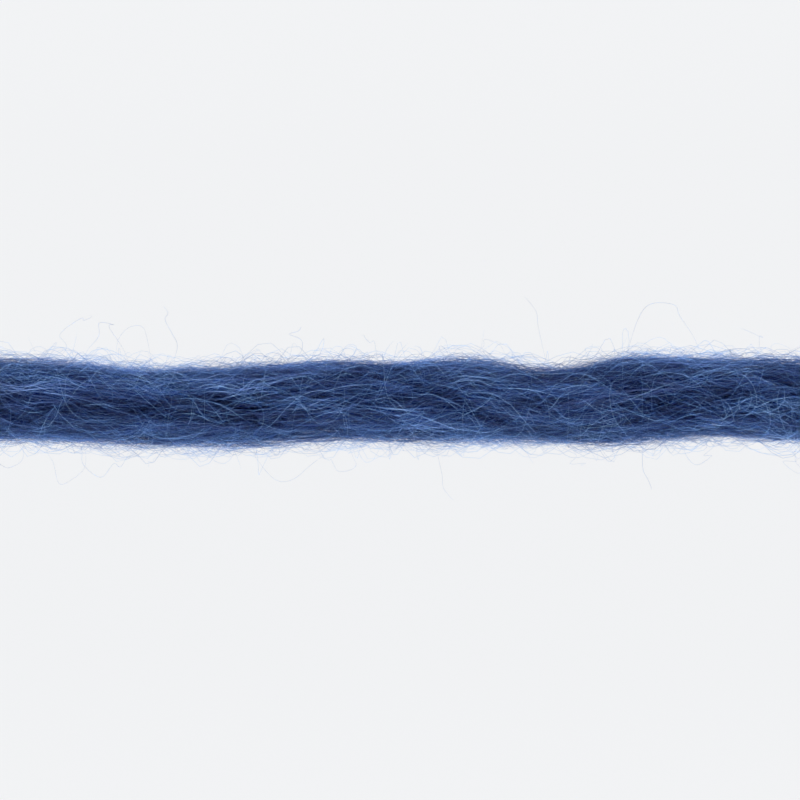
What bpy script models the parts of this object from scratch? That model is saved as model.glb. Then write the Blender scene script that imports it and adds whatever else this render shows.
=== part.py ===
"""Knitting yarn: a cut length of soft two-ply wool yarn, lying straight on a flat surface.

The yarn is two plump single strands, ply_a and ply_b, twisted round each other to the right (a Z twist).
The strands press into each other, so each one's cross-section is a rounded D whose flat side faces the
other. Each ply is one closed solid, lofted through sections that turn about the yarn's axis.

Units are metres. X runs along the yarn, Z is up, and the yarn rests on the plane z = 0.
"""

from collections import namedtuple

import bmesh
import bpy
import numpy as np

MM = 0.001

LENGTH = 72 * MM          # from one square cut end to the other
GAP = 0.3 * MM            # between the flat sides of the two plies
PRESS = 0.2 * MM          # how deep the underside is pressed flat by the yarn's own softness
SETTLE = 2.5 * MM         # the yarn's axis rises and falls no faster than over this length
STATIONS = 84             # lengthwise steps of the loft
OUTER_POINTS = 14         # section points round the plump outer side of a ply
INNER_POINTS = 6          # section points along the flat inner side, between the shoulders
SHOULDER = 0.3            # share of a ply's depth taken by the rounding at the flat side
FLATNESS = 0.45           # less makes the inner side flatter
WOOL_BLUE = (0.030, 0.072, 0.265, 1.0)
WOOL_BLUE_DEEP = (0.024, 0.060, 0.235, 1.0)

# How the twist runs along the yarn, in millimetres and degrees. turn is the way that ply_a lies from the
# yarn's axis: 0 is +Y, 90 is straight up. width_a and width_b are how broad each ply spreads across that
# way, reach is how far both plies stand out along it, split moves the plane between them towards
# ply_a, and sway is the axis's own wander in Y.
Section = namedtuple("Section", "x turn width_a width_b reach split sway")
SECTIONS = (
    Section(-36.0, -36.0, 5.6, 5.6, 3.10, 0.0, 0.05),
    Section(-29.5, 26.0, 5.7, 5.0, 3.10, -0.3, 0.05),
    Section(-22.7, 90.0, 6.2, 4.4, 3.05, -0.8, -0.22),
    Section(-19.0, 124.0, 6.0, 4.6, 2.90, -0.6, -0.38),
    Section(-13.2, 180.0, 5.6, 5.6, 2.98, 0.0, -0.42),
    Section(-3.8, 270.0, 4.5, 6.0, 3.05, 0.7, 0.00),
    Section(0.0, 315.0, 4.8, 5.8, 2.95, 0.3, -0.05),
    Section(4.1, 360.0, 5.6, 5.6, 3.20, 0.0, 0.05),
    Section(11.1, 450.0, 5.5, 4.4, 3.10, -0.5, -0.30),
    Section(18.3, 540.0, 5.6, 5.6, 3.35, 0.0, 0.15),
    Section(24.4, 630.0, 5.1, 5.8, 3.10, 0.1, 0.20),
    Section(29.4, 702.0, 5.6, 5.6, 3.10, 0.0, 0.05),
    Section(36.0, 790.0, 5.6, 5.6, 3.05, 0.0, 0.00),
)


def clear_scene():
    """Empties the scene, so that only the yarn is left in it."""
    for obj in list(bpy.data.objects):
        bpy.data.objects.remove(obj)


def smooth_column(name, x):
    """One column of SECTIONS read at the places x, along a cubic curve through its rows."""
    rows_x = np.array([row.x for row in SECTIONS])
    values = np.array([getattr(row, name) for row in SECTIONS])
    slopes = np.gradient(values, rows_x)
    i = np.clip(np.searchsorted(rows_x, x, side="right") - 1, 0, len(rows_x) - 2)
    step = rows_x[i + 1] - rows_x[i]
    t = (x - rows_x[i]) / step
    from_start = (2 * t**3 - 3 * t**2 + 1) * values[i] + (t**3 - 2 * t**2 + t) * step * slopes[i]
    from_end = (3 * t**2 - 2 * t**3) * values[i + 1] + (t**3 - t**2) * step * slopes[i + 1]
    return from_start + from_end


def rounded_d(width, inner, outer):
    """A ply's section: how far out and how far across each point is, once round."""
    outside = np.linspace(-np.pi / 2, np.pi / 2, OUTER_POINTS + 1)
    inside = np.linspace(np.pi / 2, 3 * np.pi / 2, INNER_POINTS + 2)[1:-1]
    shoulder = SHOULDER * (outer - inner)
    crown = outer - inner - shoulder
    out = np.concatenate(
        [
            inner + shoulder + crown * np.cos(outside),
            inner + shoulder - shoulder * np.abs(np.cos(inside)) ** FLATNESS,
        ]
    )
    across = width / 2 * np.sin(np.concatenate([outside, inside]))
    return out, across


def rings_of(x_mm, side, width_name):
    """A ply's points about a straight axis, as an array of station by section point by (y, z)."""
    turn = np.radians(smooth_column("turn", x_mm)) + (0 if side > 0 else np.pi)
    width = smooth_column(width_name, x_mm) * MM
    outer = smooth_column("reach", x_mm) * MM
    inner = side * smooth_column("split", x_mm) * MM + GAP / 2
    rings = []
    for k in range(len(x_mm)):
        out, across = rounded_d(width[k], inner[k], outer[k])
        y = out * np.cos(turn[k]) - across * np.sin(turn[k])
        z = out * np.sin(turn[k]) + across * np.cos(turn[k])
        rings.append(np.column_stack([y, z]))
    return np.array(rings)


def axis_height(x, *plies):
    """Height of the yarn's axis at each station: the lowest point below it rests on z = 0, pressed in."""
    lowest = np.max([-rings[:, :, 1].min(axis=1) for rings in plies], axis=0)
    nearby = np.abs(x[:, None] - x[None, :]) < SETTLE
    return (nearby * lowest).sum(axis=1) / nearby.sum(axis=1) - PRESS


def loft(name, x, rings, colour):
    """One closed solid through the rings, capped square at both ends."""
    shape = bmesh.new()
    loops = [
        [shape.verts.new((x[k], y, z)) for y, z in ring]
        for k, ring in enumerate(rings)
    ]
    count = len(loops[0])
    for near, far in zip(loops, loops[1:]):
        for j in range(count):
            after = (j + 1) % count
            shape.faces.new((near[j], near[after], far[after], far[j]))
    shape.faces.new(list(reversed(loops[0])))
    shape.faces.new(loops[-1])
    bmesh.ops.recalc_face_normals(shape, faces=shape.faces)
    mesh = bpy.data.meshes.new(name)
    shape.to_mesh(mesh)
    shape.free()
    mesh.shade_smooth()
    mesh.set_sharp_from_angle(angle=np.radians(50))
    obj = bpy.data.objects.new(name, mesh)
    bpy.context.scene.collection.objects.link(obj)
    mesh.materials.append(wool(name, colour))
    return obj


def wool(name, colour):
    """A plain matt wool finish."""
    material = bpy.data.materials.new(name)
    material.use_nodes = True
    shader = material.node_tree.nodes["Principled BSDF"]
    shader.inputs["Base Color"].default_value = colour
    shader.inputs["Roughness"].default_value = 0.95
    shader.inputs["Metallic"].default_value = 0.0
    return material


def build_yarn():
    x_mm = np.linspace(-LENGTH / 2, LENGTH / 2, STATIONS + 1) / MM
    x = x_mm * MM
    ply_a = rings_of(x_mm, 1, "width_a")
    ply_b = rings_of(x_mm, -1, "width_b")
    lift = np.column_stack([smooth_column("sway", x_mm) * MM, axis_height(x, ply_a, ply_b)])
    for name, rings, colour in (("ply_a", ply_a, WOOL_BLUE), ("ply_b", ply_b, WOOL_BLUE_DEEP)):
        placed = rings + lift[:, None, :]
        placed[:, :, 1] = placed[:, :, 1].clip(min=0)
        loft(name, x, placed, colour)


clear_scene()
build_yarn()
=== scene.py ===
# %% [markdown]
# # A length of soft two-ply knitting yarn
# The object is about 72 mm of thick wool yarn, seen so close that single fibres show. Two soft strands, the
# plies, lie round each other in a right-hand twist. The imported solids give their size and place, and this
# script makes what the eye sees: a body of packed wool, thousands of fibres spun along it, loose curls that
# lie across them, a haze of fuzz along the edges, a few long stray hairs and the fibre tips of the cut ends.

import functools
from collections import namedtuple

import bpy
import numpy as np
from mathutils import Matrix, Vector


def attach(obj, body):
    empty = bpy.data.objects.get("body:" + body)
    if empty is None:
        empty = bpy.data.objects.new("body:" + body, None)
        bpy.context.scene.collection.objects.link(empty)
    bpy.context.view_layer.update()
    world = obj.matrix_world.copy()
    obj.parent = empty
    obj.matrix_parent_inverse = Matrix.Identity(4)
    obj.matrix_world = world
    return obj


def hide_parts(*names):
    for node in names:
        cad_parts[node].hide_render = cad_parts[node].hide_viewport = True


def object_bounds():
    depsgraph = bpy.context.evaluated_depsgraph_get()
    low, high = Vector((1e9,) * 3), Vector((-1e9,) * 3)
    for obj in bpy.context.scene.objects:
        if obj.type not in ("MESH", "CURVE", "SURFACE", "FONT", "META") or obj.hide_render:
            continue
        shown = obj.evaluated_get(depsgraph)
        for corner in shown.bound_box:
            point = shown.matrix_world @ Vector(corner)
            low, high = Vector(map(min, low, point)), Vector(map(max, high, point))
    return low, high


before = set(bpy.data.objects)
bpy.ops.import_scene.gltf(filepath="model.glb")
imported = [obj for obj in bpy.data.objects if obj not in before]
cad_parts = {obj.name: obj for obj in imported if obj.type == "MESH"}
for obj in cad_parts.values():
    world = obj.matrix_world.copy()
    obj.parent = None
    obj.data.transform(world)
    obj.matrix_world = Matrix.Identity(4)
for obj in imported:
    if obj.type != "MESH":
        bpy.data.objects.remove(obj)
cad_low, cad_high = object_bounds()
print("frame:", sorted(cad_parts), [round(1000 * side, 1) for side in cad_high - cad_low], "mm")

# %% [markdown]
# ## The camera
# The yarn is seen from straight above. A wide lens held close would spread its two edges apart, and an
# orthographic camera would lose all depth, so this is a long lens far off: the edges stay parallel and the
# fuzz keeps its depth. The lens and the wanted width of view set how high the camera stands.

# %% Camera
MM = 0.001
VIEW_WIDTH = 60 * MM
SENSOR = 36.0  # millimetres, as Blender states a sensor
LENS = 100.0


def add_camera():
    data = bpy.data.cameras.new("camera")
    data.lens = LENS
    data.sensor_width = SENSOR
    data.clip_start = 0.01
    data.clip_end = 10.0
    camera = bpy.data.objects.new("camera", data)
    bpy.context.scene.collection.objects.link(camera)
    middle_height = (cad_low.z + cad_high.z) / 2
    camera.location = (0, 0, middle_height + VIEW_WIDTH * LENS / SENSOR)
    bpy.context.scene.camera = camera
    return camera


camera = add_camera()
print("camera is", round(camera.location.z * 1000), "mm up")

# %% [markdown]
# ## The twist
# Everything follows the same twist, so it is written down once. Each row is one place along the yarn, in
# millimetres and degrees: which way ply A lies from the axis, how broad each ply is, how far both reach out,
# where the plane between them lies and how the axis sways. A curve object with a twist could hold the same,
# but a table with a smooth curve through its rows can be read anywhere by plain arithmetic. The packed
# solids were lofted from the same rows, so the fibres land on them.

# %% The twist, row by row
Section = namedtuple("Section", "x turn width_a width_b reach split sway")
SECTIONS = (
    Section(-36.0, -36.0, 5.6, 5.6, 3.10, 0.0, 0.05),
    Section(-29.5, 26.0, 5.7, 5.0, 3.10, -0.3, 0.05),
    Section(-22.7, 90.0, 6.2, 4.4, 3.05, -0.8, -0.22),
    Section(-19.0, 124.0, 6.0, 4.6, 2.90, -0.6, -0.38),
    Section(-13.2, 180.0, 5.6, 5.6, 2.98, 0.0, -0.42),
    Section(-3.8, 270.0, 4.5, 6.0, 3.05, 0.7, 0.00),
    Section(0.0, 315.0, 4.8, 5.8, 2.95, 0.3, -0.05),
    Section(4.1, 360.0, 5.6, 5.6, 3.20, 0.0, 0.05),
    Section(11.1, 450.0, 5.5, 4.4, 3.10, -0.5, -0.30),
    Section(18.3, 540.0, 5.6, 5.6, 3.35, 0.0, 0.15),
    Section(24.4, 630.0, 5.1, 5.8, 3.10, 0.1, 0.20),
    Section(29.4, 702.0, 5.6, 5.6, 3.10, 0.0, 0.05),
    Section(36.0, 790.0, 5.6, 5.6, 3.05, 0.0, 0.00),
)
HALF_LENGTH = 36.0  # lengths are in millimetres from here on, unless they say otherwise
FINE_STEP = 0.25  # between the places where the twist is worked out


def smooth_column(name, x):
    """One column of SECTIONS at the places x, along a cubic curve through its rows."""
    rows_x = np.array([row.x for row in SECTIONS])
    values = np.array([getattr(row, name) for row in SECTIONS])
    slopes = np.gradient(values, rows_x)
    i = np.clip(np.searchsorted(rows_x, x, side="right") - 1, 0, len(rows_x) - 2)
    step = rows_x[i + 1] - rows_x[i]
    t = (x - rows_x[i]) / step
    from_start = (2 * t**3 - 3 * t**2 + 1) * values[i] + (t**3 - 2 * t**2 + t) * step * slopes[i]
    from_end = (3 * t**2 - 2 * t**3) * values[i + 1] + (t**3 - t**2) * step * slopes[i + 1]
    return from_start + from_end


FINE_X = np.arange(-HALF_LENGTH, HALF_LENGTH + 0.01, FINE_STEP)
TWIST = {name: smooth_column(name, FINE_X) for name in Section._fields[1:]}
TWIST["turn"] = np.radians(TWIST["turn"])
TWIST["height"] = np.zeros(len(FINE_X))


def twist(name, x):
    """The twist's value at any x, in millimetres or radians."""
    return np.interp(x, FINE_X, TWIST[name])


print("turns in the length:", round((TWIST["turn"][-1] - TWIST["turn"][0]) / (2 * np.pi), 2))

# %% [markdown]
# ## A place on a ply
# A ply pressed against its twin has a rounded D for a section: flat towards the other ply, plump outside.
# One function turns "this ply, this far along, this way round, this high above the skin" into a point.
# Fibres could also be laid down straight and shrink-wrapped onto the solids, but then they lose their order.
# Placing every fibre with one function means that nothing has to be fitted afterwards.

# %% Points on and above a ply
PLY_GAP = 0.3
SHOULDER = 0.3  # share of a ply's depth that the rounding at its flat side takes
FLATNESS = 0.45  # less makes the flat side flatter
PRESS = 0.2  # how deep the yarn's own weight and softness press its underside flat
SETTLE = 2.5  # the axis rises and falls no faster than over this length
SECTION_POINTS = 72


def ply_point(ply, x, around, lift=0.0):
    """A point on a ply (0 or 1) in millimetres. around is 0 at the crown and half a turn at the flat side."""
    turn = twist("turn", x) + np.pi * ply
    width = np.where(ply == 0, twist("width_a", x), twist("width_b", x))
    inner = np.where(ply == 0, 1, -1) * twist("split", x) + PLY_GAP / 2
    depth = twist("reach", x) - inner
    shoulder = SHOULDER * depth
    bend = np.cos(around)
    out = np.where(bend > 0, (depth - shoulder) * bend, -shoulder * np.abs(bend) ** FLATNESS)
    across = width / 2 * np.sin(around)
    grow = 1 + lift / np.hypot(out, across)
    out = inner + shoulder + out * grow
    across = across * grow
    y = twist("sway", x) + out * np.cos(turn) - across * np.sin(turn)
    z = twist("height", x) + out * np.sin(turn) + across * np.cos(turn)
    return np.stack(np.broadcast_arrays(x, y, z), axis=-1)


def settle_on_floor():
    """Sets the axis height so that the lowest skin is pressed a little into the floor all along."""
    round_way = np.linspace(0, 2 * np.pi, SECTION_POINTS, endpoint=False)
    skins = [ply_point(ply, FINE_X[:, None], round_way[None, :])[..., 2].min(axis=1) for ply in (0, 1)]
    lowest = -np.min(skins, axis=0)
    nearby = np.abs(FINE_X[:, None] - FINE_X[None, :]) < SETTLE
    TWIST["height"] = (nearby * lowest).sum(axis=1) / nearby.sum(axis=1) - PRESS


settle_on_floor()
print("axis height, mm:", TWIST["height"].min().round(2), "to", TWIST["height"].max().round(2))

# %% [markdown]
# ## The outer skin of both plies together
# Loose fibres lie over both plies, so they need the yarn's outside and not one ply's. It is stored as a
# table: for every place along the yarn and every way round the axis, how far out the outer ply reaches.
# Fibres that cross from ply to ply fill most of each groove, so the table closes the grooves: every value is
# spread to its neighbours and then drawn back, which fills narrow gaps and leaves the rest as it is. The
# wool is also a little looser on one side of the yarn than on the other.

# %% The yarn's outline in polar form
WAYS = 120  # directions round the axis
ROUND_POINTS = 720
BRIDGE = 11  # ways that a crossing fibre spans on each side of a groove
LEAST_FILL = 0.9  # the outline is nowhere under this share of the closed one
GROOVE_FILL = 0.85  # how much of the rest is filled
BLUR = 2  # ways
# Painted shade: a groove's depth sets how much darker its fibres are coloured, and this caps that depth.
DEEPEST_GROOVE = 0.5  # deeper ones don't shade the wool any darker
LOOSER = 0.12


def outline_table():
    """How far out the plies reach, for every FINE_X and every way round."""
    round_way = np.linspace(0, 2 * np.pi, ROUND_POINTS, endpoint=False)
    table = np.zeros((len(FINE_X), WAYS))
    rows = np.repeat(np.arange(len(FINE_X)), len(round_way)).reshape(len(FINE_X), -1)
    for ply in (0, 1):
        points = ply_point(ply, FINE_X[:, None], round_way[None, :])
        y = points[..., 1] - TWIST["sway"][:, None]
        z = points[..., 2] - TWIST["height"][:, None]
        way = np.round(np.arctan2(z, y) / (2 * np.pi) * WAYS).astype(int) % WAYS
        np.maximum.at(table, (rows, way), np.hypot(y, z))
    return table


def shifted(table, steps):
    """The table turned by every number of ways up to steps, to both sides."""
    return [np.roll(table, step, axis=1) for step in range(-steps, steps + 1)]


def bridged(table):
    """The outline with its grooves partly filled, as fibres that cross from ply to ply fill them."""
    closed = np.min(shifted(np.max(shifted(table, BRIDGE), axis=0), BRIDGE), axis=0)
    table = np.maximum(table, LEAST_FILL * closed)
    return np.mean(shifted(table + GROOVE_FILL * (closed - table), BLUR), axis=0)


raw_outline = outline_table()
OUTLINE = bridged(raw_outline)
# Each groove's depth, used only for the painted shade in the grooves.
GROOVES = np.mean(shifted(np.clip(OUTLINE - raw_outline, 0, DEEPEST_GROOVE), BLUR), axis=0)
OUTLINE += LOOSER * np.clip(-np.cos(2 * np.pi * np.arange(WAYS) / WAYS), 0, 1)


def table_at(table, x, way):
    """The value of a table of this kind at any x and any way round."""
    row = np.clip((x - FINE_X[0]) / FINE_STEP, 0, len(FINE_X) - 1.001)
    column = way / (2 * np.pi) * WAYS % WAYS
    i, j = row.astype(int), column.astype(int) % WAYS
    s, t = row - i, column - column.astype(int)
    after = (j + 1) % WAYS
    near = table[i, j] * (1 - t) + table[i, after] * t
    far = table[i + 1, j] * (1 - t) + table[i + 1, after] * t
    return near * (1 - s) + far * s


def yarn_point(x, way, lift):
    """A point at a height above the yarn's outside. way is the angle round the axis: from +Y, upwards."""
    out = table_at(OUTLINE, x, way) + lift
    y = twist("sway", x) + out * np.cos(way)
    z = twist("height", x) + out * np.sin(way)
    return np.stack(np.broadcast_arrays(x, y, z), axis=-1)


def seen_from_axis(points):
    """Which way round the axis points lie, and how far out."""
    y = points[..., 1] - twist("sway", points[..., 0])
    z = points[..., 2] - twist("height", points[..., 0])
    return np.arctan2(z, y), np.hypot(y, z)


print("outline, mm:", OUTLINE.min().round(2), "to", OUTLINE.max().round(2))
print("deepest groove, mm:", GROOVES.max().round(2))

# %% [markdown]
# ## Light and dark patches, painted groove shade and painted depth light
# Packed wool is denser here and looser there, and dense wool looks darker. The patches are a few millimetres
# long and about one wide. A noise texture in the material could do it, but then each layer would need the
# same one. A coarse grid of seeded random numbers, joined smoothly, gives one table for the whole yarn, which
# shades the fibres of every layer alike. The grooves between the plies get painted shade: the fibres there
# are coloured darker for the shade that falls into them. Fibres are also painted paler the further out they
# lie and darker the deeper they lie, as painted light and shade.

# %% Shade from random patches, with painted shade in the grooves and painted light by height
YARN_RADIUS = 3.1
PATCH_LENGTH = 4.0
PATCH_WIDTH = 1.1
PATCH_SHADE = 0.10  # shades run from 0, dark, to 1, pale
# Painted shade: fibres in the grooves are coloured darker by this much for each millimetre of groove depth.
GROOVE_PAINTED_SHADE = 0.10
# Painted light and shade: a fibre is coloured paler the higher it lies over the outside and darker the
# deeper, between these heights.
PAINTED_SHADE_HEIGHTS = (-0.7, 1.0)  # heights over the outside between which the shade still changes


def smooth_noise(count, steps, knots, rng):
    """Random curves of about unit size that change smoothly along their length."""
    at = np.linspace(0, knots - 1, steps)
    values = rng.normal(size=(count, knots))
    slopes = np.gradient(values, axis=1)
    i = np.minimum(at.astype(int), knots - 2)
    t = at - i
    from_start = (2 * t**3 - 3 * t**2 + 1) * values[:, i] + (t**3 - 2 * t**2 + t) * slopes[:, i]
    from_end = (3 * t**2 - 2 * t**3) * values[:, i + 1] + (t**3 - t**2) * slopes[:, i + 1]
    return from_start + from_end


def patch_table(rng):
    """The patches as a table like the outline's, from the coarse grid."""
    ways = round(2 * np.pi * YARN_RADIUS / PATCH_WIDTH)
    along = smooth_noise(ways, len(FINE_X), round(2 * HALF_LENGTH / PATCH_LENGTH), rng)
    closed = np.concatenate([along, along[:1]])
    at = np.arange(WAYS) * ways / WAYS
    t = at % 1
    t = t * t * (3 - 2 * t)
    i = at.astype(int)
    return (closed[i].T * (1 - t) + closed[i + 1].T * t) * PATCH_SHADE


PATCHES = patch_table(np.random.default_rng(5))


def shade_of(paths, tone, rise):
    """The shade of every point: a fibre's own tone, changed by random patches, darkened by painted shade in
    the grooves, and painted paler far out and darker deep in by how far out it lies.
    """
    x = paths[..., 0]
    way, out = seen_from_axis(paths)
    height = np.clip(out - table_at(OUTLINE, x, way), *PAINTED_SHADE_HEIGHTS)
    # place: the random patches of tone, less the painted shade in the grooves between the plies.
    place = table_at(PATCHES, x, way) - GROOVE_PAINTED_SHADE * table_at(GROOVES, x, way)
    # rise times height is painted light and shade: paler far out, darker deep in the yarn.
    return np.clip(tone[:, None] + place + rise * height, 0, 1)


print("patches:", PATCHES.min().round(2), "to", PATCHES.max().round(2))

# %% [markdown]
# ## Fibres as meshes
# A wool fibre is a fine round hair. Blender has hair objects, but a mesh goes through every export and can
# be measured, so each fibre is a closed tube with three sides, which at this size looks round. All fibres of
# a layer are made at once as arrays. Each one also gets its own narrow strip of a texture map: sideways the
# map says which shade of wool the fibre has, and upwards how far along it a point lies.

# %% One mesh from many fibre paths
SIDES = 3
STRIP = 0.02  # width of a fibre's strip on the map
CAP = 0.03  # length of an end cap's place on the map
FLOOR_CLEARANCE = 0.03  # a fibre that would dip lower lies on the floor


def unit(vectors):
    return vectors / np.maximum(np.linalg.norm(vectors, axis=-1, keepdims=True), 1e-12)


def fibre_rings(paths, radii, rng):
    """Three points round every point of every path, with a side direction carried along each fibre."""
    along = unit(np.gradient(paths, axis=1))
    side = np.empty_like(paths)
    side[:, 0] = unit(np.cross(along[:, 0], rng.normal(size=(len(paths), 3))))
    for i in range(1, paths.shape[1]):
        carried = side[:, i - 1]
        side[:, i] = unit(carried - (carried * along[:, i]).sum(-1, keepdims=True) * along[:, i])
    over = np.cross(along, side)
    angle = 2 * np.pi * np.arange(SIDES) / SIDES
    ring = np.cos(angle)[:, None] * side[:, :, None, :] + np.sin(angle)[:, None] * over[:, :, None, :]
    return paths[:, :, None, :] + radii[:, :, None, None] * ring


def fibre_mesh(name, layers, rng):
    """A mesh of closed tubes. Each layer is its paths, radii and shades from 0 to 1, point by point."""
    points, faces3, faces4, map3, map4 = [], [], [], [], []
    start = 0
    for paths, radii, shades in layers:
        paths[..., 2] = np.maximum(paths[..., 2], FLOOR_CLEARANCE)
        rings = fibre_rings(paths, radii, rng)
        count, steps = paths.shape[:2]
        index = start + np.arange(count * steps * SIDES).reshape(count, steps, SIDES)
        start += index.size
        points.append(rings.reshape(-1, 3))
        near, far = index[:, :-1], index[:, 1:]
        faces4.append(np.stack([near, np.roll(near, -1, 2), np.roll(far, -1, 2), far], -1).reshape(-1, 4))
        faces3.append(np.concatenate([index[:, 0, ::-1], index[:, -1]]))
        left = shades * (1 - STRIP)
        near_u, far_u = left[:, :-1, None, None], left[:, 1:, None, None]
        u = near_u * np.array([1, 1, 0, 0]) + far_u * np.array([0, 0, 1, 1])
        u = u + STRIP * (np.arange(SIDES)[:, None] + np.array([0, 1, 1, 0])) / SIDES
        step = np.arange(steps - 1)[:, None, None]
        v = (step + np.array([0, 0, 1, 1])) / (steps - 1)
        map4.append(np.stack(np.broadcast_arrays(u, v), -1).reshape(-1, 4, 2))
        for end, height in ((0, 0.0), (-1, 1 - CAP)):
            cap_u = left[:, end, None] + STRIP * np.array([0, 1, 0.5])
            cap_v = np.broadcast_to(height + CAP * np.array([0, 0, 1]), cap_u.shape)
            map3.append(np.stack([cap_u, cap_v], -1))
    return build_mesh(name, np.concatenate(points) * MM, faces4, faces3, map4, map3)


def build_mesh(name, points, faces4, faces3, map4, map3):
    """A smooth-shaded mesh from arrays of quads and triangles and their places on the map."""
    faces4, faces3 = np.concatenate(faces4), np.concatenate(faces3)
    corners = np.concatenate([faces4.ravel(), faces3.ravel()])
    starts = np.concatenate(
        [4 * np.arange(len(faces4)), 4 * len(faces4) + 3 * np.arange(len(faces3))]
    )
    mesh = bpy.data.meshes.new(name)
    mesh.vertices.add(len(points))
    mesh.vertices.foreach_set("co", points.astype(np.float32).ravel())
    mesh.loops.add(len(corners))
    mesh.loops.foreach_set("vertex_index", corners.astype(np.int32))
    mesh.polygons.add(len(starts))
    mesh.polygons.foreach_set("loop_start", starts.astype(np.int32))
    mesh.update(calc_edges=True)
    flat_map = np.concatenate([np.concatenate(map4).reshape(-1, 2), np.concatenate(map3).reshape(-1, 2)])
    layer = mesh.uv_layers.new(name="OFBake", do_init=False)
    layer.uv.foreach_set("vector", flat_map.astype(np.float32).ravel())
    mesh.shade_smooth()
    obj = bpy.data.objects.new(name, mesh)
    bpy.context.scene.collection.objects.link(obj)
    print(name, "has", 2 * len(faces4) + len(faces3), "triangles")
    return obj


# %% [markdown]
# ## Wool
# Dyed wool isn't one blue: fibres take the dye unevenly. The shades also carry painted light and shade: a
# fibre is painted paler the further out it lies and darker deep in the yarn, for the light that reaches the
# outside and the shade among packed fibres. The material reads the shade from the fibre's strip of the map
# and turns it into a colour. Wool is a little shiny along its scales, and thin enough to let light through.
# Blender's hair shader does that for hair curves. On a tube, a translucent shader mixed with the principled
# one does it, and as light goes through two walls of a tube, each wall takes the square root of the colour.
# There are two wools: one for the spun fibres, and one for the loose ones, which let more light through and
# shine more.

# %% The wool material
UNEVEN = 0.16  # how far the shade wanders along a fibre
SLUBS = 18.0  # scale of the noise that it wanders by
WOOL_SHADES = (
    (0.00, (0.007, 0.012, 0.045)),
    (0.35, (0.019, 0.032, 0.112)),
    (0.65, (0.056, 0.102, 0.306)),
    (0.85, (0.150, 0.265, 0.610)),
    (1.00, (0.330, 0.520, 0.880)),
)
LOOSE_SHADES = (
    (0.00, (0.006, 0.015, 0.053)),
    (0.40, (0.016, 0.044, 0.155)),
    (0.65, (0.045, 0.106, 0.310)),
    (0.85, (0.100, 0.232, 0.540)),
    (1.00, (0.240, 0.450, 0.800)),
)


def wool_material(name, shades, through, shine):
    """Wool in these shades. through is the share of light let through, shine the specular level."""
    material = bpy.data.materials.new(name)
    material.use_nodes = True
    nodes, links = material.node_tree.nodes, material.node_tree.links
    nodes.clear()
    output = nodes.new("ShaderNodeOutputMaterial")
    shader = nodes.new("ShaderNodeBsdfPrincipled")
    shader.inputs["Roughness"].default_value = 0.5
    shader.inputs["Specular IOR Level"].default_value = shine
    place = nodes.new("ShaderNodeUVMap")
    place.uv_map = "OFBake"
    split = nodes.new("ShaderNodeSeparateXYZ")
    ramp = nodes.new("ShaderNodeValToRGB")
    stops = ramp.color_ramp.elements
    while len(stops) < len(shades):
        stops.new(0.5)
    for stop, (at, colour) in zip(stops, shades):
        stop.position = at
        stop.color = (*colour, 1.0)
    links.new(place.outputs["UV"], split.inputs["Vector"])
    slubs = nodes.new("ShaderNodeTexNoise")
    slubs.inputs["Scale"].default_value = SLUBS
    uneven = nodes.new("ShaderNodeMath")
    uneven.operation = "MULTIPLY_ADD"
    uneven.inputs[1].default_value = UNEVEN
    centred = nodes.new("ShaderNodeMath")
    centred.operation = "SUBTRACT"
    centred.inputs[1].default_value = UNEVEN / 2
    links.new(place.outputs["UV"], slubs.inputs["Vector"])
    links.new(slubs.outputs["Fac"], uneven.inputs[0])
    links.new(split.outputs["X"], uneven.inputs[2])
    links.new(uneven.outputs["Value"], centred.inputs[0])
    links.new(centred.outputs["Value"], ramp.inputs["Fac"])
    links.new(ramp.outputs["Color"], shader.inputs["Base Color"])
    glow = nodes.new("ShaderNodeBsdfTranslucent")
    one_wall = nodes.new("ShaderNodeGamma")
    one_wall.inputs["Gamma"].default_value = 0.5
    mix = nodes.new("ShaderNodeMixShader")
    mix.inputs["Fac"].default_value = through
    links.new(ramp.outputs["Color"], one_wall.inputs["Color"])
    links.new(one_wall.outputs["Color"], glow.inputs["Color"])
    links.new(shader.outputs["BSDF"], mix.inputs[1])
    links.new(glow.outputs["BSDF"], mix.inputs[2])
    links.new(mix.outputs["Shader"], output.inputs["Surface"])
    return material


wool = wool_material("wool", WOOL_SHADES, through=0.70, shine=0.25)
loose_wool = wool_material("loose_wool", LOOSE_SHADES, through=0.85, shine=0.5)
print("materials:", [m.name for m in bpy.data.materials])

# %% [markdown]
# ## The spun body
# Deep inside, the fibres are packed so close that the wool looks like one soft mass. Modelling them one by
# one would be wasted, so each ply has an inner body: the ply's own shape, a little thinner, with shallow
# ridges that run the way its fibres do. On the outside the body follows the bridged outline, with a shallow
# valley between the plies, and it stops short of the cut ends. Light sinks into packed wool and comes out
# again beside where it went in, so its material has subsurface scattering. It shows in the gaps between the
# fibres.

# %% The two plies' inner bodies
BODY_STEPS = 130
BODY_POINTS = 40
SINK = 0.88  # from the yarn's outside down to the body
OVERLAP = 0.35  # how far the two bodies reach into each other, where the plies press together
OUTER_POWER = 0.4  # less makes the change from the outer to the inner side sharper
BODY_CLEARANCE = 0.02  # above the floor
RIDGE = 0.05
RIDGE_WAVES = range(9, 40, 2)
BALANCE = 1.2  # how much of the plies' turning their own spin undoes
FILL_UP_TO = 2.2  # radians from a ply's crown where the body leaves the bridged outline
FILL_FADE = 0.5
VALLEY = 0.22
VALLEY_FROM = 1.1  # radians from a ply's crown
VALLEY_FADE = 0.8
END_LENGTH = 2.0  # the body starts to narrow this far from a cut
END_FADE = 1.2
END_DROP = 0.4
END_RECESS = 0.8
BODY_CAP = 0.01  # size of an end face's place on the map
STREAKS = (500.0, 9000.0, 9000.0)  # per metre, so they are long in X and fine across
STREAK_BENDS = 420.0  # per metre
STREAK_BEND = 1.2 * MM
PACKED_DARK = (0.034, 0.068, 0.200)
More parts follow.
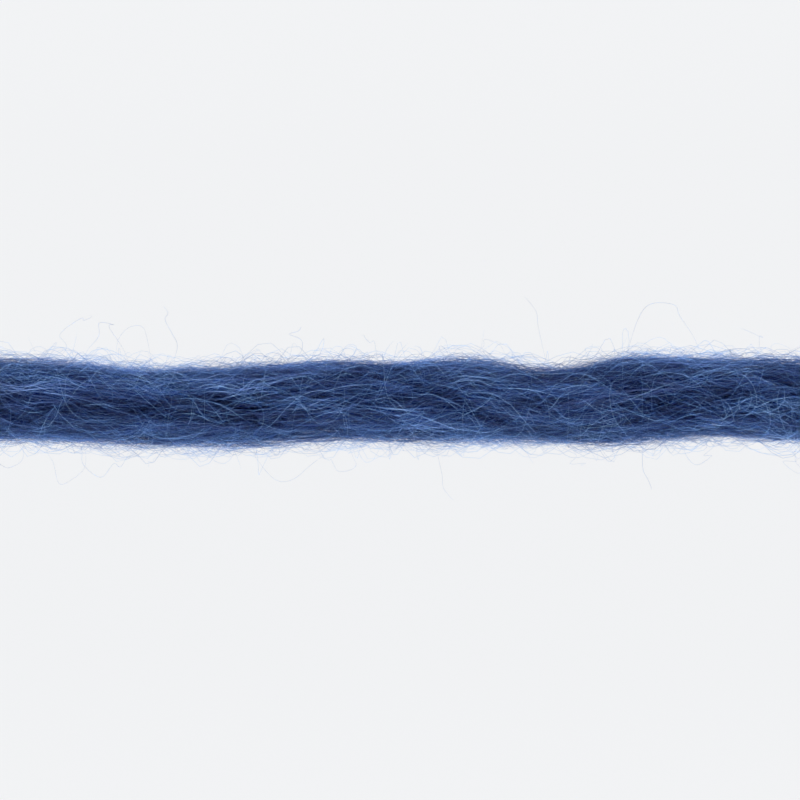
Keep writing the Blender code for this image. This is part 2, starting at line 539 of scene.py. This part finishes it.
PACKED_PALE = (0.104, 0.188, 0.440)


def ridges(x, around, rng):
    """Fine lengthwise ridges, as a height in millimetres, that follow the fibres' own way round."""
    flow = around + BALANCE * twist("turn", x)
    total = np.zeros(np.broadcast(x, around).shape)
    for waves in RIDGE_WAVES:
        drift = rng.uniform(-0.5, 0.5)
        total += np.cos(waves * flow + drift * x + rng.uniform(0, 2 * np.pi)) / np.sqrt(waves)
    return RIDGE * total


def body_skin(ply, x, around, rng):
    """One ply's inner skin. On the outside it follows the bridged outline, so its grooves stay shallow."""
    outer = (0.5 + 0.5 * np.cos(around)) ** OUTER_POWER
    near_end = np.clip((np.abs(x) - HALF_LENGTH + END_LENGTH) / END_FADE, 0, 1)
    rough = ridges(x, around, rng) - END_DROP * near_end**2
    skin = ply_point(ply, x, around, OVERLAP * (1 - outer) - SINK * outer + rough)
    way, out = seen_from_axis(skin)
    turned = np.abs((around + np.pi) % (2 * np.pi) - np.pi)
    share = np.clip((FILL_UP_TO - turned) / FILL_FADE, 0, 1)
    dive = VALLEY * np.clip((turned - VALLEY_FROM) / VALLEY_FADE, 0, 1) ** 2
    push = share * (table_at(OUTLINE, skin[..., 0], way) - SINK - dive + rough - out)
    skin = skin + push[..., None] * np.stack([0 * way, np.cos(way), np.sin(way)], -1)
    skin[..., 2] = np.maximum(skin[..., 2], BODY_CLEARANCE)
    return skin


def spun_body(rng):
    """Both plies' inner bodies as one mesh of two closed shapes."""
    points, quads, ends, map4, map_ends = [], [], [], [], []
    x = np.linspace(END_RECESS - HALF_LENGTH, HALF_LENGTH - END_RECESS, BODY_STEPS + 1)[:, None]
    around = 2 * np.pi * np.arange(BODY_POINTS)[None, :] / BODY_POINTS
    for ply in (0, 1):
        skin = body_skin(ply, x, around, rng)
        index = ply * skin[..., 0].size + np.arange(skin[..., 0].size).reshape(skin.shape[:2])
        points.append(skin.reshape(-1, 3))
        near, far = index[:-1], index[1:]
        quads.append(np.stack([near, np.roll(near, -1, 1), np.roll(far, -1, 1), far], -1).reshape(-1, 4))
        fan = np.arange(1, BODY_POINTS - 1)
        first, last = index[0], index[-1]
        ends.append(np.stack([np.full(len(fan), first[0]), first[fan + 1], first[fan]], -1))
        ends.append(np.stack([np.full(len(fan), last[0]), last[fan], last[fan + 1]], -1))
        step = np.arange(BODY_STEPS)[:, None, None]
        spot = np.arange(BODY_POINTS)[None, :, None]
        u = (step + np.array([0, 0, 1, 1])) / BODY_STEPS
        v = 0.5 * ply + 0.5 * (spot + np.array([0, 1, 1, 0])) / BODY_POINTS
        map4.append(np.stack(np.broadcast_arrays(u, v), -1).reshape(-1, 4, 2))
        for edge in (0.0, 1 - BODY_CAP):
            cap = np.array([edge, 0.5 * ply]) + BODY_CAP * np.array([[0, 0], [1, 0], [0, 1]])
            map_ends.append(np.broadcast_to(cap, (len(fan), 3, 2)))
    return build_mesh("yarn_body", np.concatenate(points) * MM, quads, ends, map4, map_ends)


def body_material():
    """Packed wool: streaks along the yarn, bent by a slower noise, in colour and in bump."""
    material = bpy.data.materials.new("packed_wool")
    material.use_nodes = True
    nodes, links = material.node_tree.nodes, material.node_tree.links
    shader = nodes["Principled BSDF"]
    shader.inputs["Roughness"].default_value = 0.8
    shader.inputs["Specular IOR Level"].default_value = 0.08
    shader.inputs["Subsurface Weight"].default_value = 1.0
    shader.inputs["Subsurface Radius"].default_value = (0.35, 0.5, 0.8)
    shader.inputs["Subsurface Scale"].default_value = 1.5 * MM
    place = nodes.new("ShaderNodeTexCoord")
    bend = nodes.new("ShaderNodeTexNoise")
    bend.inputs["Scale"].default_value = STREAK_BENDS
    bend.inputs["Detail"].default_value = 2.0
    centred = nodes.new("ShaderNodeVectorMath")
    centred.operation = "SUBTRACT"
    centred.inputs[1].default_value = (0.5, 0.5, 0.5)
    shift = nodes.new("ShaderNodeVectorMath")
    shift.operation = "MULTIPLY_ADD"
    shift.inputs[1].default_value = (0.0, STREAK_BEND, STREAK_BEND)
    stretch = nodes.new("ShaderNodeMapping")
    stretch.inputs["Scale"].default_value = STREAKS
    streaks = nodes.new("ShaderNodeTexNoise")
    streaks.inputs["Scale"].default_value = 1.0
    streaks.inputs["Detail"].default_value = 3.0
    ramp = nodes.new("ShaderNodeValToRGB")
    ramp.color_ramp.elements[0].position = 0.32
    ramp.color_ramp.elements[0].color = (*PACKED_DARK, 1)
    ramp.color_ramp.elements[1].position = 0.72
    ramp.color_ramp.elements[1].color = (*PACKED_PALE, 1)
    bump = nodes.new("ShaderNodeBump")
    bump.inputs["Distance"].default_value = 0.06 * MM
    links.new(place.outputs["Object"], bend.inputs["Vector"])
    links.new(bend.outputs["Color"], centred.inputs[0])
    links.new(centred.outputs["Vector"], shift.inputs[0])
    links.new(place.outputs["Object"], shift.inputs[2])
    links.new(shift.outputs["Vector"], stretch.inputs["Vector"])
    links.new(stretch.outputs["Vector"], streaks.inputs["Vector"])
    links.new(streaks.outputs["Fac"], ramp.inputs["Fac"])
    links.new(streaks.outputs["Fac"], bump.inputs["Height"])
    links.new(ramp.outputs["Color"], shader.inputs["Base Color"])
    links.new(bump.outputs["Normal"], shader.inputs["Normal"])
    return material


body = spun_body(np.random.default_rng(3))
body.data.materials.append(body_material())

# %% [markdown]
# ## The spun fibres
# Each ply was spun to the left before the two were twisted to the right, and the two twists nearly cancel
# out: on the outside the fibres run almost straight along the yarn. They lie in slivers, small bundles that
# share a direction and a depth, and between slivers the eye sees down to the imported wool. So slivers are
# scattered first, and fibres are scattered round them, where a plain particle scatter would give an even
# fur. Some slivers belong to one ply. Others bridge both, because plied wool catches its neighbour's fibres.

# %% Fibres in slivers
FIBRES_IN_SLIVER = 8
SPUN_POINTS = 8
SPUN_KNOTS = 6  # random values that a fibre's waves run through
SPUN_RADIUS = 0.013
LOCAL_RADIUS = 2.5  # turns a distance across the yarn into an angle
THINNING = 0.32  # slivers get fewer with height, by this scale
SHELL = 0.85  # thickness of the layer of slivers
SPUN_SLIVERS = 230
SPUN_ROUND = (-1.9, 1.9)
SPUN_DEEPEST = -0.97
BRIDGING_SLIVERS = 420
BRIDGING_ROUND = (0, 2 * np.pi)
BRIDGING_DEEPEST = -0.90
SLIVER_SLOPE = 0.18  # how far slivers lean from the yarn's direction
FIBRE_SLOPE = 0.10  # and fibres from their sliver's
FIBRE_SPREAD = 0.20  # how far to the side of its sliver a fibre lies
FIBRE_DEPTHS = 0.10  # and how far above or below it
HALF_FIBRE = (2.0, 4.5)
ALONG_SLIVER = 1.5
SIDE_WAVE = 0.11
DEPTH_WAVE = 0.08
SLIVER_TONE = 0.80
SLIVER_TONES = 0.04
FIBRE_TONES = 0.05
# Painted light and shade on the spun fibres: paler with height, darker with depth.
SPUN_PAINTED_RISE = 0.60  # how much paler a spun fibre is for each millimetre of height
PAST_CUT = 3  # slivers start this far past the ends, so that the cuts run through some
CUT_SHORT = -0.15  # where scissors cut a fibre, from the nominal end
CUT_RAGGED = 0.30
CUT_LONGEST = 0.3
RADII = (0.75, 1.25)  # thinnest and thickest fibre, as shares of the usual one
THIN_END = 0.35  # share of its radius that a fibre has at its ends
TAPER = 3


def tapered(radius, count, steps, rng):
    """Radii that vary from fibre to fibre and thin out at both ends of each."""
    along = np.linspace(0, 1, steps)
    taper = np.minimum(1, THIN_END + TAPER * np.minimum(along, 1 - along))
    return radius * rng.uniform(*RADII, (count, 1)) * taper


def sliver_fibres(slivers, place, widest, deepest, aim, rng):
    """Spun fibres in slivers, as paths, radii and shades.

    place turns x, the way round and the lift into points; aim gives the way round that a fibre follows.
    """
    middle = rng.uniform(-HALF_LENGTH - PAST_CUT, HALF_LENGTH + PAST_CUT, slivers)
    start = rng.uniform(*widest, slivers)
    slope = rng.normal(0, SLIVER_SLOPE, slivers)
    depth = deepest + rng.exponential(THINNING, slivers) % SHELL
    tone = rng.normal(SLIVER_TONE, SLIVER_TONES, slivers)
    of = np.repeat(np.arange(slivers), FIBRES_IN_SLIVER)
    count = len(of)
    half = rng.uniform(*HALF_FIBRE, count)
    centre = middle[of] + rng.normal(0, ALONG_SLIVER, count)
    limit = HALF_LENGTH + rng.normal(CUT_SHORT, CUT_RAGGED, (2, count)).clip(max=CUT_LONGEST)
    low = np.clip(centre - half, -limit[0], HALF_LENGTH - ALONG_SLIVER)
    high = np.clip(centre + half, ALONG_SLIVER - HALF_LENGTH, limit[1])
    x = low[:, None] + (high - low)[:, None] * np.linspace(0, 1, SPUN_POINTS)
    slant = (slope[of] + rng.normal(0, FIBRE_SLOPE, count))[:, None] * (x - middle[of][:, None])
    spread = (rng.normal(0, FIBRE_SPREAD, count)[:, None] + slant) / LOCAL_RADIUS
    wave = SIDE_WAVE / LOCAL_RADIUS * smooth_noise(count, SPUN_POINTS, SPUN_KNOTS, rng)
    around = start[of][:, None] + aim(x, middle[of][:, None]) + spread + wave
    lift = (depth[of] + rng.normal(0, FIBRE_DEPTHS, count))[:, None]
    lift = lift + DEPTH_WAVE * smooth_noise(count, SPUN_POINTS, SPUN_KNOTS, rng)
    paths = place(x, around, np.maximum(lift, deepest - FIBRE_DEPTHS))
    shades = shade_of(paths, tone[of] + rng.normal(0, FIBRE_TONES, count), SPUN_PAINTED_RISE)
    return paths, tapered(SPUN_RADIUS, count, SPUN_POINTS, rng), shades


def aim_in_ply(x, middle):
    """The way round a ply that undoes its turning, so that a fibre runs along the yarn."""
    return -BALANCE * (twist("turn", x) - twist("turn", middle))


def aim_straight(x, middle):
    """No change in the way round: over both plies a fibre simply runs along the yarn."""
    return np.zeros_like(x)


spun = []
for ply in (0, 1):
    rng = np.random.default_rng(11 + ply)
    in_ply = functools.partial(ply_point, ply)
    layer = sliver_fibres(SPUN_SLIVERS, in_ply, SPUN_ROUND, SPUN_DEEPEST, aim_in_ply, rng)
    spun.append(fibre_mesh(f"spun_fibres_{'ab'[ply]}", [layer], rng))
for part in (0, 1):
    rng = np.random.default_rng(21 + part)
    layer = sliver_fibres(
        BRIDGING_SLIVERS, yarn_point, BRIDGING_ROUND, BRIDGING_DEEPEST, aim_straight, rng
    )
    spun.append(fibre_mesh(f"bridging_fibres_{'ab'[part]}", [layer], rng))
for piece in spun:
    piece.data.materials.append(wool)

# %% [markdown]
# ## Frizz
# Not every fibre stays in line. Wool is springy, and many fibres work loose from the plies, wander over them
# in flat curves and dive in again. They catch the light and cross everything, which is what makes the yarn
# look soft and woolly. Hair curves with a noise on them would stand up evenly, like fur. So each one is a
# walk over the yarn's outside whose heading bends smoothly at random, in rows from calm to wild, and some
# of them gather in clumps.

# %% Loose fibres over both plies
UNDERSIDE = -0.6  # the sine of the way round, below which fewer fibres start
UNDERSIDE_SHARE = 0.4
SIDE_SPREAD = 0.45  # radians to either side of the yarn's two sides
CLUMP_SPREAD = (0.9, 0.22)  # along the yarn, and round it in radians
WALK_KNOTS = 5
WALK_PAST_CUT = 0.1
ROOTED = -0.75  # how deep the ends of a loose fibre sit
WAVERING = 0.2
FREE_CURVE = 1.3  # a free end leaves the skin slowly and then rises
LOOSE_TONES = 0.08
# Painted light and shade on the loose fibres: roots in the yarn darker, free parts paler.
LOOSE_PAINTED_RISE = 0.3  # how much paler a loose fibre is for each millimetre of height
Clump = namedtuple("Clump", "x way spread")
CLUMPS = (
    Clump(-27.0, 120, 1.6),
    Clump(-19.0, 97, 1.0),
    Clump(-9.0, 285, 1.5),
    Clump(0.5, 68, 1.0),
    Clump(6.0, 200, 1.5),
    Clump(12.5, 118, 2.0),
    Clump(18.0, 20, 1.2),
    Clump(24.5, 115, 1.8),
    Clump(28.5, 104, 0.8),
    Clump(-33.0, 60, 1.5),
)


def anywhere(count, rng):
    """Starting places over the whole yarn, rather fewer on its underside, as x and way round."""
    way = rng.uniform(0, 2 * np.pi, 2 * count)
    kept = way[(np.sin(way) > UNDERSIDE) | (rng.random(2 * count) < UNDERSIDE_SHARE)][:count]
    return rng.uniform(-HALF_LENGTH, HALF_LENGTH, count), kept


def at_the_sides(count, rng):
    """Starting places along the two sides, where the pressed yarn is widest."""
    way = rng.integers(2, size=count) * np.pi + rng.normal(0, SIDE_SPREAD, count)
    return rng.uniform(-HALF_LENGTH, HALF_LENGTH, count), way


def in_clumps(count, rng):
    """Starting places in the clumps."""
    clumps = [CLUMPS[i] for i in rng.integers(len(CLUMPS), size=count)]
    spread = np.array([clump.spread for clump in clumps])
    x = np.array([clump.x for clump in clumps]) + spread * rng.normal(0, CLUMP_SPREAD[0], count)
    way = np.radians([clump.way for clump in clumps]) + spread * rng.normal(0, CLUMP_SPREAD[1], count)
    return x, way


def walks(start, points, length, aim, bend, rng):
    """Random walks over the outside, as x and way round. bend is the usual curvature, one per millimetre."""
    x, way = start
    step = length[:, None] / (points - 1)
    curve = bend[:, None] * smooth_noise(len(x), points, WALK_KNOTS, rng)
    heading = aim[:, None] + np.cumsum(curve * step, axis=1)
    along = np.cumsum(np.cos(heading) * step, axis=1)
    across = np.cumsum(np.sin(heading) * step, axis=1)
    x = x[:, None] + along - along[:, points // 2, None]
    way = way[:, None] + (across - across[:, points // 2, None]) / YARN_RADIUS
    x -= np.maximum(x.max(axis=1, keepdims=True) - HALF_LENGTH - WALK_PAST_CUT, 0)
    x += np.maximum(-HALF_LENGTH - WALK_PAST_CUT - x.min(axis=1, keepdims=True), 0)
    return x, way


Loose = namedtuple("Loose", "where count points long aim bends wild low mean most radius tone free")


def loose_fibres(row, rng):
    """Fibres that leave the skin and come back to it, or end free, as paths, radii and shades.

    long, bends: the least and most length and curvature; aim: how far the headings stray from the yarn's own;
    wild: the share that take any heading; low, mean, most: how high they rise; radius, tone: the fibre's own.
    """
    start = row.where(row.count, rng)
    rise = row.low + rng.exponential(row.mean, row.count).clip(max=row.most)
    length = rng.uniform(*row.long, row.count)
    calm = rng.random(row.count) > row.wild
    aim = np.where(calm, rng.normal(0, row.aim, row.count), rng.uniform(0, 2 * np.pi, row.count))
    x, way = walks(start, row.points, length, aim, rng.uniform(*row.bends, row.count), rng)
    along = np.linspace(0, 1, row.points)
    shape = along**FREE_CURVE if row.free else np.sin(np.pi * along)
    wavy = 1 + WAVERING * smooth_noise(row.count, row.points, WALK_KNOTS, rng)
    lift = ROOTED + (rise[:, None] - ROOTED) * shape * wavy
    paths = yarn_point(x, way, lift)
    shades = shade_of(paths, rng.normal(row.tone, LOOSE_TONES, row.count), LOOSE_PAINTED_RISE)
    return paths, tapered(row.radius, row.count, row.points, rng), shades


FRIZZ = (
    Loose(anywhere, 800, 14, (2.5, 7.0), 0.30, (0.3, 1.3), 0.03, -0.60, 0.28, 2.2, 0.008, 0.63, False),
    Loose(anywhere, 240, 16, (2.0, 5.0), 0.50, (0.8, 2.4), 0.10, -0.25, 0.20, 1.4, 0.007, 0.74, False),
    Loose(in_clumps, 170, 18, (2.0, 5.0), 0.50, (0.9, 2.6), 0.15, -0.20, 0.25, 1.5, 0.007, 0.76, False),
    Loose(anywhere, 330, 14, (4.0, 10.0), 0.30, (0.2, 1.2), 0.25, 0.40, 0.36, 1.5, 0.007, 0.80, False),
    Loose(anywhere, 400, 9, (1.0, 3.5), 0.30, (0.2, 1.5), 0.40, 0.10, 0.40, 1.6, 0.007, 0.80, True),
)
rng = np.random.default_rng(31)
frizz = fibre_mesh("frizz", [loose_fibres(row, rng) for row in FRIZZ], rng)
frizz.data.materials.append(loose_wool)

# %% [markdown]
# ## Fuzz and haze
# Thousands of finer fibres stand off a little and lie almost along the yarn. Seen past the yarn's edge they
# make a haze that is dense at the skin and gone two millimetres out, and over the middle they veil the body.
# A volume could stand for such a haze, but an export can't hold it and it never shows single hairs. So these
# are loose fibres too, straighter and finer ones, and more of them start along the yarn's two sides. Those
# along the sides are painted paler, painted light for the bright edges.

# %% The haze along the edges
FUZZ = (
    Loose(anywhere, 3900, 8, (2.5, 6.0), 0.22, (0.1, 0.6), 0.04, -0.45, 0.36, 1.4, 0.0090, 0.76, False),
)
HAZE = (
    Loose(anywhere, 1500, 6, (3.0, 7.0), 0.10, (0.02, 0.25), 0.0, -0.20, 0.32, 1.5, 0.0090, 0.80, False),
    # Painted light: the haze along the sides has a paler tone (0.90) than the haze elsewhere (0.80), to
    # brighten the edges.
    Loose(at_the_sides, 2600, 6, (3.0, 7.0), 0.09, (0.02, 0.20), 0.0, -0.55, 0.38, 1.4, 0.0090, 0.90, False),
)
rng = np.random.default_rng(41)
fuzz = fibre_mesh("fuzz", [loose_fibres(row, rng) for row in FUZZ], rng)
haze = fibre_mesh("haze", [loose_fibres(row, rng) for row in HAZE], rng)
fuzz.data.materials.append(loose_wool)
haze.data.materials.append(loose_wool)

# %% [markdown]
# ## Long strays
# A few fibres have come right away from the yarn and stand out by up to its own width and more. There are
# only a couple of dozen, so they aren't scattered at random: each gets a row of its own, which says where it
# leaves, to which side, how far out it goes, how far it leans along the yarn, how much it curls and how high
# it rises. A looped one comes back to the yarn.

# %% Long stray hairs
Stray = namedtuple("Stray", "x side reach lean curl rise looped")
STRAYS = (
    Stray(11.0, 1, 5.0, -1.6, 0.3, 3.0, False),
    Stray(17.0, 1, 4.2, 5.6, 0.4, 2.5, True),
    Stray(-25.8, 1, 3.6, 2.4, 0.8, 3.0, False),
    Stray(-24.0, 1, 3.4, 3.6, 1.0, 2.0, True),
    Stray(-16.8, 1, 4.4, -0.9, 0.3, 3.5, False),
    Stray(-21.5, 1, 2.6, 3.0, 0.9, 2.4, True),
    Stray(-8.3, 1, 2.6, 0.8, 0.5, 3.0, False),
    Stray(-1.5, 1, 1.9, -1.4, 0.6, 2.8, False),
    Stray(5.0, 1, 1.6, 3.2, 0.6, 2.2, True),
    Stray(27.5, 1, 2.3, -1.8, 0.7, 2.6, False),
    Stray(2.6, -1, 4.6, 1.5, 0.2, 1.2, False),
    Stray(-24.5, -1, 2.4, 4.2, 0.9, 0.8, True),
    Stray(-27.0, -1, 2.9, 3.0, 0.7, 1.0, True),
    Stray(-11.5, -1, 2.8, 6.4, 0.5, 0.9, True),
    Stray(-7.0, -1, 2.2, 3.6, 0.8, 1.4, True),
    Stray(18.4, -1, 4.0, 0.7, 0.4, 1.0, False),
    Stray(21.6, -1, 1.9, 2.2, 1.0, 1.1, True),
    Stray(-17.5, -1, 1.7, -1.6, 0.5, 1.0, False),
    Stray(12.2, -1, 1.8, 1.7, 0.9, 1.3, False),
    Stray(29.0, -1, 2.5, 1.6, 0.6, 0.9, False),
    Stray(-32.5, 1, 2.2, -2.0, 0.6, 2.2, False),
    Stray(33.0, 1, 2.0, 1.2, 0.7, 2.0, False),
    Stray(-31.0, -1, 2.1, 2.4, 0.6, 1.2, True),
    Stray(32.0, -1, 2.4, -2.2, 0.5, 1.3, True),
)
STRAY_POINTS = 36
STRAY_RADIUS = 0.007
STRAY_KNOTS = 6
STRAY_START = (3.0, 0.5)  # out from the axis and up from the floor
STRAY_WAVE = (0.6, 0.35)  # along the yarn, and in the other two directions
STRAY_SINKS = 0.4  # share of its rise that a stray loses on its way out
STRAY_TONE = 0.90
STRAY_TONES = 0.05


def stray_fibre(row, rng):
    """One stray's path: out from the skin and, if it is looped, back again, with some curl on the way."""
    t = np.linspace(0, 1, STRAY_POINTS)
    bow = np.sin(np.pi * t) ** 0.7 if row.looped else np.sin(np.pi / 2 * t)
    noise = np.array([smooth_noise(1, STRAY_POINTS, STRAY_KNOTS, rng)[0] for _ in range(3)])
    wave = row.curl * noise * np.sin(np.pi * t) ** 0.5
    out, up = STRAY_START
    x = row.x + row.lean * t + STRAY_WAVE[0] * wave[0]
    y = twist("sway", x) + row.side * (out + row.reach * bow + STRAY_WAVE[1] * wave[1])
    z = row.rise * (1 - STRAY_SINKS * bow) + up + STRAY_WAVE[1] * wave[2]
    return np.stack([x, y, z], axis=-1)


rng = np.random.default_rng(51)
paths = np.array([stray_fibre(row, rng) for row in STRAYS])
uneven = smooth_noise(len(STRAYS), STRAY_POINTS, WALK_KNOTS, rng)
shades = np.clip(STRAY_TONE + STRAY_TONES * uneven, 0, 1)
radii = tapered(STRAY_RADIUS, len(STRAYS), STRAY_POINTS, rng)
strays = fibre_mesh("stray_hairs", [(paths, radii, shades)], rng)
strays.data.materials.append(loose_wool)

# %% [markdown]
# ## The cut ends
# The yarn was cut with scissors at both ends, and cut wool shows its fibres end on. A flat cap with a bump
# map would look like felt seen end on, without the ragged edge. So short thick tufts fill the whole cut, with
# their tips at slightly different lengths and a little splay. Their points are painted paler: painted light
# that lifts the cut face out of the shade between the tufts.

# %% Fibre tips at the two cut ends
TIPS = 1650  # at each end
TIP_POINTS = 3
TIP_RADIUS = 0.058
TIP_LENGTH = 1.6
TIP_RAGGED = 0.20
TIPS_REACH = 0.89  # share of the outline that the tufts fill
TIP_TURN = 0.12
TIP_SPLAY = 0.04
TIP_SPLAYS = 0.02
TIP_TONE = 0.52
TIP_TONES = 0.08
# Painted light: how much paler the tuft points are coloured than their roots.
TIP_PAINTED_LIGHT = 0.38


def cut_tips(end, rng):
    """Fibre ends that fill the whole cut, as paths, radii and shades."""
    way = rng.uniform(0, 2 * np.pi, (TIPS, 1))
    inside = TIPS_REACH * np.sqrt(rng.random((TIPS, 1)))
    root = end * (HALF_LENGTH - TIP_LENGTH)
    tip = end * (HALF_LENGTH + rng.normal(CUT_SHORT, TIP_RAGGED, (TIPS, 1)).clip(max=CUT_LONGEST))
    t = np.linspace(0, 1, TIP_POINTS)
    x = root + (tip - root) * t
    way = way + TIP_TURN * rng.normal(size=(TIPS, 1)) * t
    splay = 1 + TIP_SPLAY * (t - 0.5) + TIP_SPLAYS * rng.normal(size=(TIPS, 1)) * t
    paths = yarn_point(x, way, (inside * splay - 1) * table_at(OUTLINE, x, way))
    # The shade grows paler towards each tip: painted light on the cut face.
    shades = np.clip(rng.normal(TIP_TONE, TIP_TONES, (TIPS, 1)) + TIP_PAINTED_LIGHT * t**2, 0, 1)
    return paths, tapered(TIP_RADIUS, TIPS, TIP_POINTS, rng), shades


rng = np.random.default_rng(61)
tips = fibre_mesh("cut_end_tips", [cut_tips(end, rng) for end in (-1, 1)], rng)
tips.data.materials.append(wool)

# %% [markdown]
# ## Floor and light
# The yarn lies on a plain pale surface. It is lit like a specimen: softly from low down all round, with the
# surface itself glowing a little, so that it throws hardly any shadow and the fuzz shows against it. A lamp
# overhead would flatten the yarn and bleach its top. Instead the sky is dark above and pale near the
# horizon, and four broad lamps stand just over the horizon: two strong ones light the flanks and the fuzz,
# and two faint ones light the cut ends.

# %% Floor, world and lamps
PALE = (0.885, 0.895, 0.91)
DARK_SKY = (0.04, 0.041, 0.042)
SKY_CHANGES = (0.22, 0.38)  # from pale to dark, as the height on a sky of radius 1
FLOOR_SIZE = 3.0  # metres to each side
FLOOR_GREY = 0.06
FLOOR_GLOW = 0.96
LAMP_BREADTH = 30  # degrees
Lamp = namedtuple("Lamp", "name energy tilt_x tilt_y")
LAMPS = (
    Lamp("front_lamp", 9.0, 87, 0),
    Lamp("back_lamp", 10.0, -87, 0),
    Lamp("right_lamp", 2.5, 0, 88),
    Lamp("left_lamp", 2.5, 0, -88),
)


def add_floor():
    """A plain square of floor that glows a little."""
    mesh = bpy.data.meshes.new("floor")
    corners = [(-1, -1), (1, -1), (1, 1), (-1, 1)]
    mesh.from_pydata([(FLOOR_SIZE * x, FLOOR_SIZE * y, 0) for x, y in corners], [], [(0, 1, 2, 3)])
    floor = bpy.data.objects.new("floor", mesh)
    bpy.context.scene.collection.objects.link(floor)
    material = bpy.data.materials.new("pale_floor")
    material.use_nodes = True
    shader = material.node_tree.nodes["Principled BSDF"]
    shader.inputs["Base Color"].default_value = (FLOOR_GREY, FLOOR_GREY, FLOOR_GREY, 1)
    shader.inputs["Roughness"].default_value = 1.0
    shader.inputs["Specular IOR Level"].default_value = 0.0
    shader.inputs["Emission Color"].default_value = (*PALE, 1)
    shader.inputs["Emission Strength"].default_value = FLOOR_GLOW
    mesh.materials.append(material)


def add_world():
    """A sky that is pale near the horizon and dark overhead."""
    world = bpy.data.worlds.new("studio")
    world.use_nodes = True
    nodes, links = world.node_tree.nodes, world.node_tree.links
    background = nodes["Background"]
    place = nodes.new("ShaderNodeTexCoord")
    split = nodes.new("ShaderNodeSeparateXYZ")
    ramp = nodes.new("ShaderNodeValToRGB")
    low, high = ramp.color_ramp.elements
    low.position, high.position = SKY_CHANGES
    low.color = (*PALE, 1)
    high.color = (*DARK_SKY, 1)
    links.new(place.outputs["Generated"], split.inputs["Vector"])
    links.new(split.outputs["Z"], ramp.inputs["Fac"])
    links.new(ramp.outputs["Color"], background.inputs["Color"])
    background.inputs["Strength"].default_value = 1.0
    bpy.context.scene.world = world


def add_low_lamp(row):
    """A broad soft lamp close to the horizon, which lights one flank or end of the yarn and its fuzz."""
    data = bpy.data.lights.new(row.name, "SUN")
    data.energy = row.energy
    data.angle = np.radians(LAMP_BREADTH)
    lamp = bpy.data.objects.new(row.name, data)
    lamp.rotation_euler = (np.radians(row.tilt_x), np.radians(row.tilt_y), 0)
    bpy.context.scene.collection.objects.link(lamp)


add_floor()
add_world()
for row in LAMPS:
    add_low_lamp(row)
bpy.context.scene.view_settings.view_transform = "Standard"
print("lamps:", [(row.name, row.energy) for row in LAMPS])

# %% [markdown]
# ## Attaching the pieces
# The yarn is a free cord with two plain cut ends. The body and every fibre piece are attached to the root,
# and the imported plies are hidden.

fibres = [*spun, frizz, fuzz, haze, strays, tips]
pieces = [body, *fibres]
for piece in pieces:
    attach(piece, "root")
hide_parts("ply_a", "ply_b")
